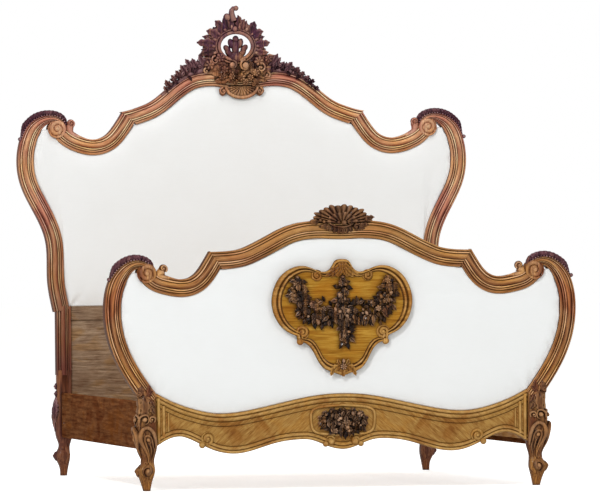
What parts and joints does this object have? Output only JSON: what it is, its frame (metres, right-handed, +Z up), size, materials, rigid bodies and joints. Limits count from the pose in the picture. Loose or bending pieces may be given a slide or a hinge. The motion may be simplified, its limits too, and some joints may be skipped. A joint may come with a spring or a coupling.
{
  "type": "upholstered bed",
  "caption": "Carved walnut double bed with serpentine upholstered head and foot ends, hook-on side rails and a lift-out slat mat under the mattress.",
  "frame": {"origin": "middle of the bed's footprint, on the floor", "axes": "+X to the right seen from the foot end, +Y from the foot end to the head end, +Z up"},
  "size_m": [1.7998, 2.072, 1.846],
  "materials": {
    "walnut_frame": "glossy varnish",
    "walnut_carving": "dark varnish",
    "walnut_rail": "satin varnish",
    "shield_veneer": "glossy varnish",
    "shield_moulding": "glossy varnish",
    "apron_veneer": "glossy varnish",
    "plain_panel": "dull",
    "upholstery": "plain weave",
    "pad_filling": "felted",
    "hessian": "coarse weave",
    "webbing": "herringbone",
    "back_cloth": "plain weave",
    "beech": "raw",
    "steel": "dull",
    "tape": "woven"
  },
  "bodies": {
    "bed_ends": {"foot_apron": "apron_veneer", "foot_back_cloth": "back_cloth", "foot_bouquet": "walnut_carving", "foot_chassis": "beech", "foot_cover": "upholstery", "foot_dowels": "beech", "foot_garland": "walnut_carving", "foot_hessian": "hessian", "foot_hook_pins": "steel", "foot_pad": "pad_filling", "foot_scroll_leaf_left": "walnut_carving", "foot_scroll_leaf_right": "walnut_carving", "foot_shell": "walnut_carving", "foot_shield": "shield_veneer", "foot_shield_moulding": "shield_moulding", "foot_shield_screws": "steel", "foot_shoulder_left": "walnut_frame", "foot_shoulder_right": "walnut_frame", "foot_stile_left": "walnut_frame", "foot_stile_right": "walnut_frame", "foot_top_rail": "walnut_frame", "foot_webbing": "webbing", "head_back_cloth": "back_cloth", "head_chassis": "beech", "head_cover": "upholstery", "head_crest_carving": "walnut_carving", "head_crest_rail": "walnut_frame", "head_dowels": "beech", "head_hessian": "hessian", "head_hook_pins": "steel", "head_lower_panel": "plain_panel", "head_lower_rail": "plain_panel", "head_pad": "pad_filling", "head_scroll_leaf_left": "walnut_carving", "head_scroll_leaf_right": "walnut_carving", "head_shoulder_left": "walnut_frame", "head_shoulder_right": "walnut_frame", "head_stile_left": "walnut_frame", "head_stile_right": "walnut_frame", "head_swag_left": "walnut_carving", "head_swag_right": "walnut_carving", "head_webbing": "webbing"},
    "rail_left": {"hook_rivets_left": "steel", "ledger_screws_left": "steel", "rail_hooks_left": "steel", "side_rail_left": "walnut_rail", "slat_ledger_left": "beech"},
    "rail_right": {"hook_rivets_right": "steel", "ledger_screws_right": "steel", "rail_hooks_right": "steel", "side_rail_right": "walnut_rail", "slat_ledger_right": "beech"},
    "slat_mat": {"slats": "beech", "slat_tapes": "tape"}
  },
  "joints": [
    {"name": "rail_left_lift", "type": "slide", "parent": "bed_ends", "child": "rail_left", "axis": [0, 0, 1], "range_m": [0, 0.02]},
    {"name": "rail_right_lift", "type": "slide", "parent": "bed_ends", "child": "rail_right", "axis": [0, 0, 1], "range_m": [0, 0.02]},
    {"name": "slat_mat_lift", "type": "slide", "parent": "rail_left", "child": "slat_mat", "axis": [0, 0, 1], "range_m": [0, 0.3]}
  ],
  "couplings": [
    {"joint": "rail_right_lift", "follows": "rail_left_lift", "ratio": 1}
  ]
}
